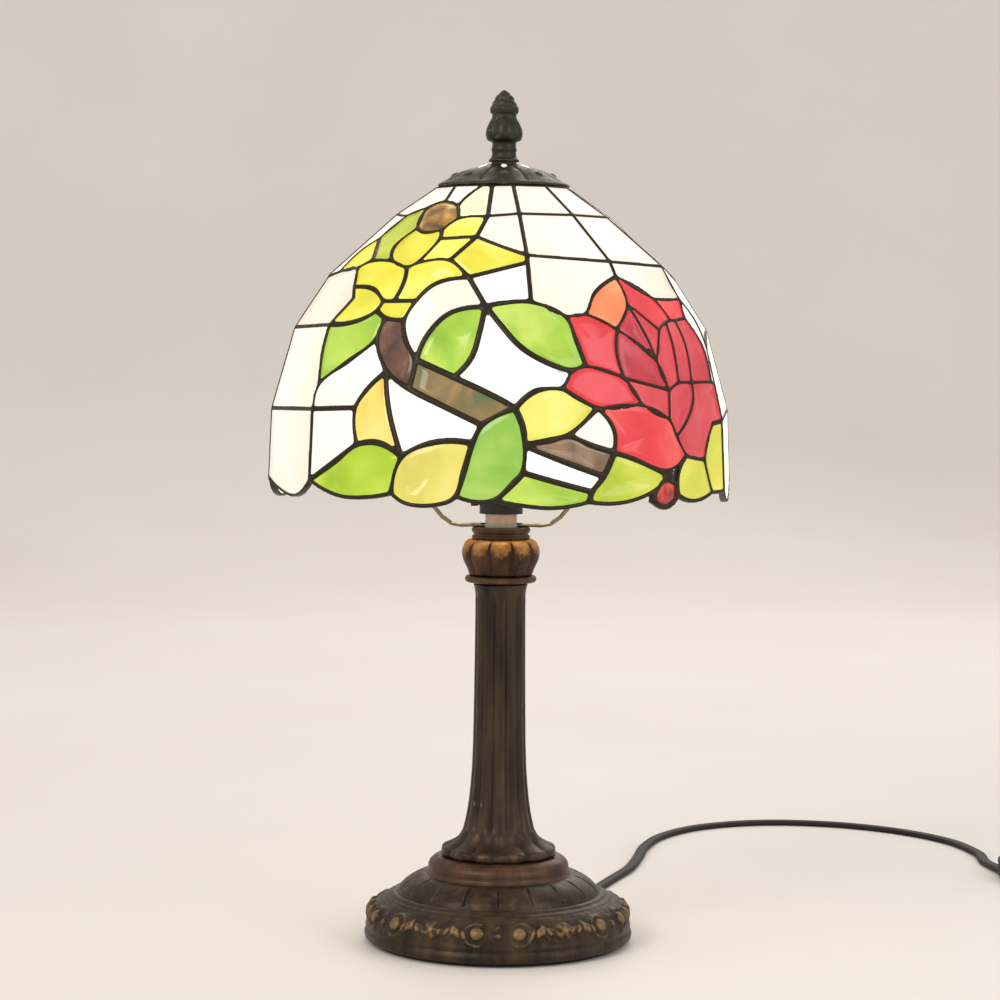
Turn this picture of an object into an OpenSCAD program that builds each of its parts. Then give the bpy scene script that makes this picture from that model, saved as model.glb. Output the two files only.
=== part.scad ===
// Stained glass table lamp: a copper-foil glass shade on a cast column with a round base.
// Origin at the centre of the base's underside. +Z up, front towards -Y.

/* [Base and column] */
// Outside diameter of the base casting
base_d = 118.8; // [110:0.2:124]
// Thickness of the felt pad under the base
pad_t = 1.6; // [1:0.1:2]
// Outside diameter of the threaded lamp pipe
pipe_d = 10; // [9.5:0.1:10.2]
// Inside diameter of the threaded lamp pipe
pipe_bore_d = 6.6; // [6:0.1:7]
// Height of the base casting
base_h = 38.5; // [37:0.5:40]
// Height of the collar between column and capital
collar_z = 156.5; // [155:0.5:158]
// Height of the top of the capital's neck ring
neck_z = 181; // [180:0.5:182]

/* [Socket and bulb] */
// Outside diameter of the socket shell
socket_d = 19.2; // [19:0.1:20]
// Diameter of the bulb's globe
globe_d = 40; // [32:1:44]
// Length of the turn knob on the switch
knob_len = 3.2; // [2.4:0.2:4]

/* [Shade] */
// Thickness of the glass
glass_t = 2.4; // [1.8:0.2:2.8]
// Thickness of the solder seams between the glass pieces
seam_t = 3.6; // [3.2:0.2:4]
// Gap between a piece of glass and the seam that holds it
glass_gap = 0.2; // [0.1:0.02:0.3]
// Azimuth of the first rib of the twelve-sided dome
rib_az = 8; // [0:1:14]

/* [Harp and finial] */
// Diameter of the harp wire
harp_d = 1.8; // [1.6:0.1:2.4]
// Diameter of the stud that carries the shade
stud_d = 5; // [4.6:0.1:5.2]
// Radial running clearance on the stud
stud_clear = 0.08; // [0.04:0.01:0.1]

/* [Cord] */
// Width of the flat twin cord
cord_w = 5.6; // [5.2:0.1:6]
// Thickness of the flat twin cord
cord_h = 2.8; // [2.6:0.1:3]

/* [Hidden] */

$fn = 64;
bronze = "#4a3323";
dark_bronze = "#3b352c";
brass = "#b5964c";
steel = "#9a9a98";
cream = "#f7f2dd";

// ---- Base and column ----
base_r = base_d / 2;
pipe_r = pipe_d / 2;
pipe_clear_r = pipe_r + 0.3;
pipe_foot_z = 2.6;
weight_z = 8.5;
weight_top_z = 14;
washer_t = 1.2;
nut_h = 4.6;
nut_af = 16;
relief_az = 155;
relief_z = 7;
relief_len = 22;
relief_r = 3.9;
collar_t = 3.2;
capital_top_z = neck_z - 5;
saddle_t = 1.6;
// Parts above the base are drawn with the column's foot at column_z, then lifted onto it.
column_z = 35;
stem_lift = base_h - column_z;

// ---- Socket and bulb ----
socket_z = neck_z + saddle_t;
shell_z = socket_z + 4.4;
shell_top_z = shell_z + 35;
shell_wall = 0.7;
screw_z = 201;
screw_len = 19;
screw_r = 6.15;
bulb_z = screw_z + 1.5;
bulb_neck_z = 219;
globe_r = globe_d / 2;
globe_z = bulb_neck_z + 24;
switch_z = shell_z + 4.5;

// ---- Shade ----
// Height and rib radius of the dome's middle surface, from the lower edge to the top opening.
dome = [[178, 102.5], [233, 100], [268, 90], [297, 71], [317, 46], [329, 28.5], [341, 11]];
facet_angle = 30;
shade_top_z = 329;
rim_w = 1.5;
skirt_z = 182;
slot_reach = 4;
cut_reach = 9;
cut_inset = 0.3;
top_plate_z = 325.5;
top_plate_t = 1.8;
seat_t = 1.5;
hub_top_z = top_plate_z - seat_t;
cap_rim_z = 330.5;
cap_top_z = 340.5;
finial_washer_t = 1;
finial_z = cap_top_z + finial_washer_t;
stud_top_z = 352;
stud_r = stud_d / 2;
stud_hole_r = stud_r + stud_clear;

// Half the seam width around each kind of piece.
grid_seam = 0.95;
field_seam = 1.1;
petal_seam = 1.1;
leaf_seam = 1.35;
rose_seam = 1.0;

// The pattern covers half the shade and is used twice. Each outline is a list of
// [azimuth, height] corners. Azimuth 0 faces the front and grows to the right.
grid_outlines = [
    [[-82, 329], [-47, 329], [-41, 322], [-46, 321], [-50, 319], [-63, 316], [-82, 317]],
    [[-47, 329], [-19, 329], [-28, 320], [-41, 322]],
    [[-10, 329], [8, 329], [8, 316], [-8, 315]],
    [[8, 329], [38, 329], [38, 316], [8, 316]],
    [[38, 329], [68, 329], [68, 316], [38, 316]],
    [[68, 329], [98, 329], [98, 317], [68, 316]],
    [[-82, 317], [-63, 316], [-66, 306], [-71, 301], [-74, 292], [-82, 290]],
    [[-8, 315], [8, 316], [8, 298], [-1, 302], [-11, 306]],
    [[8, 316], [38, 316], [38, 296], [8, 298]],
    [[38, 316], [68, 316], [68, 295], [38, 296]],
    [[68, 316], [98, 317], [98, 290], [68, 295]],
    [[8, 298], [38, 296], [38, 290], [29, 283], [24, 274], [18, 273], [8, 279]],
    [[38, 296], [68, 295], [67, 281], [53, 281], [38, 290]],
    [[68, 295], [98, 290], [98, 268], [77, 260], [72, 272], [67, 281]],
    [[-82, 290], [-74, 292], [-59, 293], [-52, 285], [-50, 280], [-55, 269], [-82, 268]],
    [[-82, 268], [-55, 269], [-55, 258], [-52, 244], [-52, 234], [-82, 233]],
    [[77, 260], [98, 268], [98, 233], [68, 230], [70, 245]],
    [[-82, 233], [-52, 234], [-52, 204], [-61, 197], [-75, 199], [-82, 203]],
    [[68, 230], [98, 233], [98, 203], [92, 196], [82, 194], [70, 199]]
];
field_outlines = [
    [[-11, 289], [-5, 277], [-15, 274], [-20, 265], [-22, 255], [-26, 263], [-28, 271],
     [-26, 279], [-21, 286]],
    [[-11, 289], [8, 295], [8, 279], [-2, 278], [-5, 277]],
    [[-5, 277], [-1, 270], [5, 260], [13, 253], [18, 251], [15, 244], [8, 243], [3, 236],
     [0, 239], [-12, 248], [-8, 256], [-6, 267]],
    [[-52, 244], [-44, 254], [-36, 263], [-31, 250], [-36, 243], [-39, 235], [-52, 234]],
    [[-52, 234], [-39, 235], [-38, 220], [-52, 204]],
    [[-31, 250], [-23, 243], [-14, 236], [-5, 229], [-7, 222], [-16, 222], [-24, 216],
     [-28, 234]],
    [[5, 221], [15, 214], [25, 208], [22, 202], [13, 206], [5, 210]],
    [[24, 236], [28, 227], [28, 218], [22, 221], [16, 225]],
    [[67, 281], [72, 272], [77, 260], [70, 245], [67, 246], [67, 262], [64, 273]]
];
petal_outlines = [
    [[-19, 329], [-10, 329], [-8, 315], [-22, 314], [-28, 320]],
    [[-50, 319], [-63, 316], [-66, 306], [-50, 296], [-42, 296], [-46, 302], [-43, 310]],
    [[-74, 292], [-71, 301], [-66, 306], [-50, 296], [-59, 293]],
    [[-42, 296], [-46, 302], [-43, 310], [-36, 308], [-28, 309], [-26, 305], [-30, 295],
     [-34, 293]],
    [[-28, 309], [-22, 314], [-8, 315], [-11, 306], [-26, 305]],
    [[-26, 305], [-11, 306], [-18, 296], [-30, 295]],
    [[-11, 306], [-1, 302], [8, 298], [8, 295], [-11, 289], [-18, 296]],
    [[-34, 293], [-30, 295], [-18, 296], [-11, 289], [-21, 286], [-26, 279], [-34, 279],
     [-33, 287]],
    [[-59, 293], [-50, 296], [-42, 296], [-34, 293], [-33, 287], [-34, 279], [-38, 279],
     [-44, 284], [-52, 285]],
    [[-52, 285], [-44, 284], [-38, 279], [-39, 275], [-44, 271], [-55, 269], [-50, 280]],
    [[-38, 279], [-34, 279], [-26, 279], [-28, 271], [-35, 272], [-39, 275]]
];
jewel_outlines = [
    [[-28, 320], [-22, 314], [-28, 309], [-36, 308], [-43, 310], [-50, 319], [-46, 321],
     [-41, 322]]
];
branch_outlines = [
    [[-35, 272], [-28, 271], [-26, 263], [-22, 255], [-23, 243], [-31, 250], [-36, 263]],
    [[-23, 243], [-22, 255], [-12, 248], [0, 239], [3, 236], [-5, 229], [-14, 236]],
    [[5, 221], [11, 223], [16, 225], [22, 221], [28, 218], [25, 208], [15, 214]]
];
green_leaf_outlines = [
    [[-55, 269], [-44, 271], [-39, 275], [-35, 272], [-36, 263], [-44, 254], [-52, 244],
     [-55, 258]],
    [[-5, 277], [-15, 274], [-20, 265], [-22, 255], [-12, 248], [-8, 256], [-6, 267]],
    [[-5, 277], [-2, 278], [8, 279], [18, 273], [20, 263], [22, 253], [18, 251], [13, 253],
     [5, 260], [-1, 270]],
    [[-52, 204], [-44, 213], [-38, 220], [-31, 221], [-24, 216], [-27, 200], [-34, 198],
     [-43, 198]],
    [[-11, 199], [-9, 210], [-7, 222], [-5, 229], [3, 236], [5, 227], [5, 210], [3, 206],
     [-2, 198]],
    [[-2, 198], [3, 206], [5, 210], [13, 206], [22, 202], [21, 197], [12, 195], [5, 196]],
    [[28, 218], [32, 216], [44, 208], [39, 202], [31, 197], [21, 197], [22, 202], [25, 208]]
];
yellow_leaf_outlines = [
    [[-31, 250], [-28, 234], [-24, 216], [-31, 221], [-38, 220], [-39, 235], [-36, 243]],
    [[-24, 216], [-16, 222], [-7, 222], [-9, 210], [-11, 199], [-15, 196], [-22, 196],
     [-27, 200]],
    [[3, 236], [8, 243], [15, 244], [18, 241], [24, 236], [16, 225], [11, 223], [5, 221],
     [5, 227]],
    [[48, 208], [52, 216], [60, 214], [63, 199], [55, 196], [48, 199]],
    [[64, 229], [68, 230], [70, 199], [63, 199], [60, 214]]
];
rose_outer_outlines = [
    [[38, 290], [38, 278], [32, 268], [24, 274], [29, 283]],
    [[38, 290], [53, 281], [56, 272], [53, 271], [48, 268], [38, 278]],
    [[18, 273], [24, 274], [32, 268], [31, 259], [32, 248], [22, 253], [20, 263]],
    [[22, 253], [32, 248], [36, 237], [24, 236], [18, 241], [15, 244], [18, 251]],
    [[24, 236], [36, 237], [45, 231], [48, 224], [52, 216], [44, 210], [32, 216], [28, 218],
     [28, 227]],
    [[53, 281], [67, 281], [64, 273], [58, 272], [56, 272]]
];
rose_inner_outlines = [
    [[32, 268], [44, 255], [47, 243], [32, 248], [31, 259]],
    [[32, 268], [38, 278], [41, 266], [44, 255]],
    [[38, 278], [48, 268], [46, 261], [44, 255], [41, 266]],
    [[48, 268], [53, 271], [53, 261], [52, 246], [47, 243], [44, 255], [46, 261]],
    [[53, 271], [56, 272], [58, 272], [59, 263], [58, 246], [52, 246], [53, 261]],
    [[58, 272], [64, 273], [67, 262], [67, 246], [58, 246], [59, 263]],
    [[32, 248], [47, 243], [45, 231], [36, 237]],
    [[47, 243], [52, 246], [58, 246], [57, 239], [53, 231], [48, 224], [45, 231]],
    [[58, 246], [67, 246], [70, 245], [68, 230], [64, 229], [60, 214], [52, 216], [48, 224],
     [53, 231], [57, 239]]
];
bud_outlines = [
    [[39, 202], [43, 206], [47, 204], [47, 198], [43, 195], [38, 198]]
];
// The scalloped lower edge of the same half.
lower_edge = [
    [-82, 203], [-75, 199], [-61, 197], [-52, 204], [-43, 198], [-34, 198], [-27, 200],
    [-22, 196], [-15, 196], [-11, 199], [-2, 198], [5, 196], [12, 195], [21, 197],
    [31, 197], [38, 198], [43, 195], [47, 198], [48, 199], [55, 196], [63, 199],
    [70, 199], [82, 194], [92, 196], [98, 203]
];
outline_groups = [
    [grid_outlines, grid_seam], [field_outlines, field_seam], [petal_outlines, petal_seam],
    [jewel_outlines, petal_seam], [branch_outlines, leaf_seam],
    [green_leaf_outlines, leaf_seam], [yellow_leaf_outlines, leaf_seam],
    [rose_outer_outlines, rose_seam], [rose_inner_outlines, rose_seam],
    [bud_outlines, rose_seam]
];

// ---- Harp ----
harp_foot_z = neck_z + harp_d / 2 + 0.05;
harp_arm = [
    [7, 0, harp_foot_z], [14, 0, harp_foot_z], [22, 0, harp_foot_z + 0.6], [30, 0, 190],
    [35, 0, 203], [38, 0, 230], [37, 0, 260], [32, 0, 288], [23, 0, 307], [12, 0, 317],
    [9, 0, 318.5], [6, 0, 318.5]
];
hub_half = 6;
hub_h = 9;

// ---- Cord: the middle line of its lying part, then its coil ----
cord_lie_z = cord_h / 2 + 0.05;
coil_centre = [290, 150];
coil_r = 31;
coil_half_w = 9;
coil_lift = 0.9;
coil_h = 9;
plug_start = [327, 196];
cord_route = [
    [33.8, 72.5, 4.8], [40, 88, 2.4], [46, 104, cord_lie_z], [56, 133, cord_lie_z],
    [66, 162, cord_lie_z], [72, 192, cord_lie_z], [77, 222, cord_lie_z],
    [88, 254, cord_lie_z], [110, 282, cord_lie_z], [144, 298, cord_lie_z],
    [182, 295, cord_lie_z], [216, 276, cord_lie_z], [240, 246, cord_lie_z],
    [250, 212, cord_lie_z], [250, 186, cord_lie_z], [252, 160, cord_lie_z]
];
cord_steps = 3;
tail_route = [
    [326, 158, cord_lie_z], [328, 172, 2], [328, 184, 5], [327, 196, 7]
];

// ---- Helpers ----
function unit(v) = v / norm(v);

// A point on the faceted dome.
function facet(az) =
    cos(facet_angle / 2) /
    cos((az - rib_az + 720) % facet_angle - facet_angle / 2);
function on_dome(p, turn) =
    let (r = lookup(p[1], dome) * facet(p[0]), az = p[0] + turn)
    [r * sin(az), -r * cos(az), p[1]];
function dome_normal(p, turn) =
    let (slope = (lookup(p[1] + 6, dome) - lookup(p[1] - 6, dome)) / 12, az = p[0] + turn)
    unit([sin(az), -cos(az), -slope]);

// Twice the signed area of an outline, for its winding.
function winding(outline, i = 0) =
    i == len(outline) ? 0 :
    let (a = outline[i], b = outline[(i + 1) % len(outline)])
    a[0] * b[1] - b[0] * a[1] + winding(outline, i + 1);

// A corner of an outline, moved inwards on the dome by d and outwards from it by lift.
function corner(outline, i, turn, d, lift) =
    let (
        count = len(outline),
        here = on_dome(outline[i], turn),
        before = on_dome(outline[(i + count - 1) % count], turn),
        after = on_dome(outline[(i + 1) % count], turn),
        n = dome_normal(outline[i], turn),
        side = winding(outline) > 0 ? 1 : -1,
        n1 = side * unit(cross(n, here - before)),
        n2 = side * unit(cross(n, after - here))
    )
    here + d * (n1 + n2) / max(1 + n1 * n2, 0.3) + lift * n;

function middle(points) = [for (k = [0:2]) sum_of([for (p = points) p[k]]) / len(points)];
function sum_of(values, i = 0) = i == len(values) ? 0 : values[i] + sum_of(values, i + 1);

// A plate that lies on the dome inside an outline.
module dome_plate(outline, turn, d, low, high) {
    count = len(outline);
    outer = [for (i = [0:count - 1]) corner(outline, i, turn, d, high)];
    inner = [for (i = [0:count - 1]) corner(outline, i, turn, d, low)];
    points = concat(outer, inner, [middle(outer), middle(inner)]);
    flip = winding(outline) > 0;
    faces = [for (i = [0:count - 1]) let (j = (i + 1) % count) each [
        [i, j, 2 * count],
        [count + j, count + i, 2 * count + 1],
        [j, i, count + i],
        [j, count + i, count + j]
    ]];
    polyhedron(points, flip ? [for (f = faces) [f[2], f[1], f[0]]] : faces);
}

// All the glass of one kind on one half of the shade.
module glass(outlines, seam, turn, tint) {
    color(tint)
    for (outline = outlines)
        dome_plate(outline, turn, seam, -glass_t / 2, glass_t / 2);
}

// Points along a smooth curve through a few given points.
function curve_point(a, b, c, d, t) =
    0.5 * (2 * b + (c - a) * t + (2 * a - 5 * b + 4 * c - d) * t * t
    + (3 * b - a - 3 * c + d) * t * t * t);
function smooth(points, steps) =
    let (last = len(points) - 1)
    concat([for (i = [0:last - 1], k = [0:steps - 1])
        curve_point(points[max(i - 1, 0)], points[i], points[i + 1],
                    points[min(i + 2, last)], k / steps)], [points[last]]);

// A closed tube of oval section that follows a path, its width across the given direction.
module tube(path, width, height, across, sides = 8) {
    last = len(path) - 1;
    rings = [for (i = [0:last]) let (
        along = unit(path[min(i + 1, last)] - path[max(i - 1, 0)]),
        side = unit(cross(along, across)),
        up = cross(side, along)
    ) for (k = [0:sides - 1]) let (angle = 360 * (k + 0.5) / sides, fit = cos(180 / sides))
        path[i] + (side * width * cos(angle) + up * height * sin(angle)) / 2 / fit];
    walls = [for (i = [0:last - 1], k = [0:sides - 1]) let (
        a = i * sides + k,
        b = i * sides + (k + 1) % sides
    ) each [[a, a + sides, b + sides], [a, b + sides, b]]];
    first_end = [for (k = [1:sides - 2]) [0, k, k + 1]];
    far = last * sides;
    last_end = [for (k = [1:sides - 2]) [far, far + k + 1, far + k]];
    polyhedron(rings, concat(walls, first_end, last_end));
}

module ring(outer_r, inner_r, z, h) {
    translate([0, 0, z])
    difference() {
        cylinder(h = h, r = outer_r);
        translate([0, 0, -1]) cylinder(h = h + 2, r = inner_r);
    }
}

module lifted() {
    translate([0, 0, stem_lift]) children();
}

// A turned piece with a through bore.
module turned(profile, bore_r) {
    rotate_extrude()
    polygon(concat(profile, [[bore_r, profile[len(profile) - 1][1]], [bore_r, profile[0][1]]]));
}

// ---- Base ----
module base_pad() {
    color("#5a5148") ring(55, 12, 0, pad_t);
}

module base_casting() {
    color(bronze)
    difference() {
        rotate_extrude()
        difference() {
            polygon([
                [0, pad_t], [base_r - 0.9, pad_t], [base_r, 4.5], [base_r - 0.2, 9],
                [base_r - 1.4, 13.5], [55, 17.5], [51, 20.3], [46.5, 21.4], [45, 23],
                [41, 26.8], [36, 29.4], [31, 31], [30, 32], [30.6, 34.5], [29.4, 37.5],
                [26, base_h], [0, base_h]
            ]);
            polygon([
                [-1, 0], [54, 0], [54, 9], [46, 9], [46, weight_top_z], [34, weight_top_z],
                [34, 20], [26, 24], [12, 24], [12, weight_top_z], [-1, weight_top_z]
            ]);
        }
        cylinder(h = 60, r = pipe_clear_r);
        rotate([0, 0, relief_az - 90])
        translate([40, 0, relief_z])
        rotate([0, 90, 0])
        cylinder(h = 30, r = relief_r - 0.9);
    }
}

module base_weight() {
    color("#55575a") ring(45.8, pipe_clear_r, weight_z, weight_top_z - weight_z);
}

module lock_washer() {
    color(steel) ring(10, pipe_clear_r, weight_z - washer_t, washer_t);
}

module hex_nut() {
    color(steel)
    translate([0, 0, weight_z - washer_t - nut_h])
    difference() {
        cylinder(h = nut_h, r = nut_af / 2 / cos(30), $fn = 6);
        translate([0, 0, -1]) cylinder(h = nut_h + 2, r = pipe_r + 0.05);
    }
}

module lamp_pipe() {
    top_z = shell_z + stem_lift - 0.2;
    color(steel) ring(pipe_r, pipe_bore_d / 2, pipe_foot_z, top_z - pipe_foot_z);
}

// ---- Column and capital ----
module column() {
    color(bronze)
    turned([
        [25.3, column_z], [25.6, column_z + 3], [24, 39.5], [18.5, 42], [17, 44], [14.3, 52],
        [12.6, 64], [11.4, 81], [10.9, 106], [10.6, 149], [11.7, collar_z]
    ], pipe_clear_r);
}

module capital_collar() {
    color(bronze)
    turned([
        [15, collar_z], [15.8, collar_z + 0.8], [15.8, collar_z + 2.4],
        [15, collar_z + collar_t]
    ], pipe_clear_r);
}

module capital() {
    foot = collar_z + collar_t;
    color(bronze)
    turned([
        [13.8, foot], [14.4, foot + 2.3], [16.4, foot + 5.5], [17.3, foot + 9],
        [16.9, foot + 12.5], [15.4, foot + 15], [12.8, capital_top_z]
    ], pipe_clear_r);
}

module capital_neck_ring() {
    color(bronze)
    turned([
        [12.8, capital_top_z], [12.4, capital_top_z + 2.4], [12.9, capital_top_z + 3.6],
        [12.6, neck_z]
    ], pipe_clear_r);
}

// ---- Harp ----
module harp_saddle() {
    color(steel)
    difference() {
        translate([-7, -6, neck_z]) cube([14, 12, saddle_t]);
        translate([0, 0, neck_z - 1]) cylinder(h = saddle_t + 2, r = pipe_clear_r);
    }
}

module harp_wires() {
    arm = smooth(harp_arm, 2);
    color(steel)
    for (side = [0, 180])
        rotate([0, 0, side])
        tube(arm, harp_d, harp_d, [0, 1, 0]);
}

module harp_hub() {
    color(brass) {
        translate([-hub_half, -hub_half, hub_top_z - hub_h])
        cube([2 * hub_half, 2 * hub_half, hub_h]);
        translate([0, 0, hub_top_z]) cylinder(h = stud_top_z - hub_top_z, r = stud_r);
    }
}

// ---- Socket and switch ----
module socket_neck() {
    color("#d8c9a0") ring(7, pipe_r + 0.05, socket_z, shell_z - socket_z);
}

module socket_shell() {
    color("#2a2622")
    translate([0, 0, shell_z])
    difference() {
        cylinder(h = shell_top_z - shell_z, r = socket_d / 2);
        translate([0, 0, 1.5]) cylinder(h = 50, r = socket_d / 2 - shell_wall);
        translate([0, 0, -1]) cylinder(h = 4, r = 3.4);
        translate([0, 0, switch_z - shell_z])
        rotate([0, -90, 0])
        cylinder(h = 20, r = 1);
    }
}

module socket_liner() {
    floor_z = shell_z + 1.5;
    color("#6b4a2f")
    translate([0, 0, floor_z])
    difference() {
        cylinder(h = shell_top_z - 1 - floor_z, r = socket_d / 2 - shell_wall - 0.1);
        translate([0, 0, screw_z - 1 - floor_z]) cylinder(h = 50, r = screw_r + 0.55);
        for (side = [-1, 1])
            translate([side * 1.6, 4, -1]) cylinder(h = 50, r = 1.2);
        translate([0, 0, switch_z - floor_z])
        rotate([0, -90, 0])
        cylinder(h = 20, r = 1);
    }
}

module socket_screw_shell() {
    color(brass) ring(screw_r + 0.5, screw_r, screw_z, screw_len);
}

module socket_contact() {
    color(brass)
    translate([-3, -1.4, screw_z - 1]) cube([6, 2.8, 0.8]);
}

module socket_leads() {
    color("#cfc4a8")
    for (side = [-1, 1])
        translate([side * 1.6, 0, pipe_foot_z + 1])
        cylinder(h = shell_z + stem_lift + 0.2 - pipe_foot_z, r = 1.1);
}

module switch_shaft() {
    color(brass)
    translate([-socket_d / 2 - 0.6, 0, switch_z])
    rotate([0, 90, 0])
    cylinder(h = 5.6, r = 0.92);
}

module switch_knob() {
    color("#26211d")
    translate([-socket_d / 2 - 0.6 - knob_len, 0, switch_z]) {
        rotate([0, 90, 0]) cylinder(h = knob_len, r = 1.3);
        translate([0, -2.2, -0.6]) cube([knob_len - 0.8, 4.4, 1.2]);
    }
}

// ---- Bulb ----
module bulb_cap() {
    color(steel)
    translate([0, 0, bulb_z]) cylinder(h = bulb_neck_z - bulb_z, r = screw_r - 0.3);
}

module bulb_contact() {
    color(brass)
    translate([0, 0, screw_z + 0.1]) cylinder(h = bulb_z - screw_z - 0.1, r = 2);
}

module bulb_shape(inset) {
    neck_r = screw_r - 0.3 - inset;
    difference() {
        union() {
            translate([0, globe_z]) circle(r = globe_r - inset, $fn = 96);
            polygon([
                [0, bulb_neck_z], [neck_r, bulb_neck_z], [neck_r + 0.8, bulb_neck_z + 3],
                [12 - inset, globe_z - 15.5], [0, globe_z]
            ]);
        }
        translate([-100, 0]) square([100, 400]);
    }
}

module bulb_glass() {
    color("#fff6dc", 0.6)
    rotate_extrude()
    difference() {
        bulb_shape(0);
        bulb_shape(0.8);
    }
}

module bulb_filament() {
    color("#ffd27a")
    translate([0, 0, bulb_neck_z]) {
        cylinder(h = 12, r = 1.6);
        translate([0, 0, 12]) cylinder(h = 5, r = 0.5);
        translate([0, 0, 17]) rotate_extrude() translate([4, 0]) circle(r = 0.6, $fn = 16);
        for (side = [0:60:300])
            rotate([0, 0, side])
            translate([0, 0, 17])
            rotate([0, 90, 0])
            cylinder(h = 4, r = 0.35, $fn = 16);
    }
}

// ---- Shade fittings ----
module seating_washer() {
    color(brass) ring(9, stud_hole_r, hub_top_z, seat_t);
}

module shade_top_plate() {
    color(brass)
    difference() {
        ring(26, stud_hole_r, top_plate_z, top_plate_t);
        for (side = [0:60:300])
            rotate([0, 0, side])
            translate([17, 0, top_plate_z - 1])
            cylinder(h = top_plate_t + 2, r = 3.2);
    }
}

module vase_cap() {
    color(dark_bronze)
    difference() {
        rotate_extrude()
        polygon([
            [stud_hole_r, top_plate_z + top_plate_t], [6, top_plate_z + top_plate_t],
            [6, 336.5], [12, 336], [18.5, 334.2], [25, cap_rim_z], [29, cap_rim_z],
            [29, cap_rim_z + 1.2], [24.8, 333.6], [20, 336.4], [13.6, 338.6], [8.8, 339.6],
            [7, cap_top_z], [stud_hole_r, cap_top_z]
        ]);
        for (side = [0:45:315])
            rotate([0, 0, side])
            translate([15, 0, 325])
            cylinder(h = 20, r = 1.2);
    }
}

// The lattice of solder seams: the dome's shell, less an opening for each piece of glass.
module seam_shell() {
    half = seam_t / 2;
    levels = [skirt_z, 233, 268, 297, 317, shade_top_z];
    function edge(z, d) =
        let (n = dome_normal([0, z], 0))
        [lookup(z, dome) - d * n[1], z + d * n[2]];
    rotate([0, 0, rib_az - 90])
    rotate_extrude($fn = 360 / facet_angle)
    polygon(concat(
        [for (z = levels) edge(z, half)],
        [for (i = [len(levels) - 1:-1:0]) edge(levels[i], -half)]
    ));
}

module lower_edge_cut(turn) {
    for (i = [0:len(lower_edge) - 2]) {
        a = lower_edge[i];
        b = lower_edge[i + 1];
        ends = [
            [a[0] - 0.1, a[1] - rim_w], [b[0] + 0.1, b[1] - rim_w],
            [b[0] + 0.1, skirt_z - 6], [a[0] - 0.1, skirt_z - 6]
        ];
        dome_plate(ends, turn, 0, -cut_reach, cut_reach);
    }
}

module solder_seams() {
    color("#2b2620")
    minkowski() {
        difference() {
            seam_shell();
            for (turn = [0, 180]) {
                lower_edge_cut(turn);
                for (group = outline_groups, outline = group[0]) {
                    dome_plate(outline, turn, group[1] - glass_gap, -slot_reach, slot_reach);
                    dome_plate(outline, turn, group[1] + cut_inset, -cut_reach, cut_reach);
                }
            }
        }
    }
}

// ---- Finial ----
module finial_washer() {
    color(brass) ring(5.5, stud_hole_r, cap_top_z, finial_washer_t);
}

module finial() {
    color(dark_bronze)
    difference() {
        rotate_extrude()
        polygon([
            [0, finial_z], [6.6, finial_z], [6, finial_z + 1.4], [5.4, 344], [5.3, 350.6],
            [7.6, 351.6], [8.3, 354], [7.6, 357], [5.6, 360.4], [5.2, 362.4], [6.1, 363.4],
            [6.1, 365], [5.4, 366.4], [4.1, 369.2], [2.1, 371.6], [0.8, 372.8], [0, 373]
        ]);
        translate([0, 0, finial_z - 1]) cylinder(h = stud_top_z + 2.5 - finial_z, r = stud_hole_r);
    }
}

// ---- Cord, with its strain relief and plug ----
module strain_relief() {
    color("#2a211c")
    rotate([0, 0, relief_az - 90])
    translate([base_r - 1.5, 0, relief_z])
    rotate([0, 95.6, 0])
    rotate_extrude()
    polygon([
        [0, 0], [relief_r - 1, 0], [relief_r - 1, 1.9], [relief_r, 1.9], [relief_r, 3.4],
        [3.3, 4.4], [2.9, relief_len + 3], [0, relief_len + 3]
    ]);
}

module cord() {
    color("#2e2019")
    tube(smooth(cord_route, cord_steps), cord_w, cord_h, [0, 0, 1]);
}

module cord_tail() {
    color("#2e2019")
    tube(smooth(tail_route, cord_steps), cord_w, cord_h, [0, 0, 1]);
}

module cord_coil() {
    color("#2e2019")
    translate([coil_centre[0], coil_centre[1], coil_lift])
    rotate_extrude()
    translate([coil_r - coil_half_w, 0])
    square([2 * coil_half_w, coil_h]);
}

module cord_tie() {
    color("#1d1a18")
    translate([coil_centre[0], coil_centre[1] - coil_r, 0])
    difference() {
        translate([-4, -coil_half_w - 1, 0])
        cube([8, 2 * coil_half_w + 2, coil_h + 2 * coil_lift]);
        translate([-5, -coil_half_w - 0.1, coil_lift])
        cube([10, 2 * coil_half_w + 0.2, coil_h]);
    }
}

module plug_body() {
    color("#2a211c")
    translate([plug_start[0], plug_start[1], 0])
    hull() {
        translate([-3.5, 0, 3]) cube([7, 1, 8]);
        translate([-10, 12, 0]) cube([20, 16, 14]);
    }
}

module plug_blades() {
    color(steel)
    for (side = [-1, 1])
        translate([plug_start[0] + side * 6.35 - 0.75, plug_start[1] + 28, 3.8])
        cube([1.5, 17, 6.4]);
}

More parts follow.
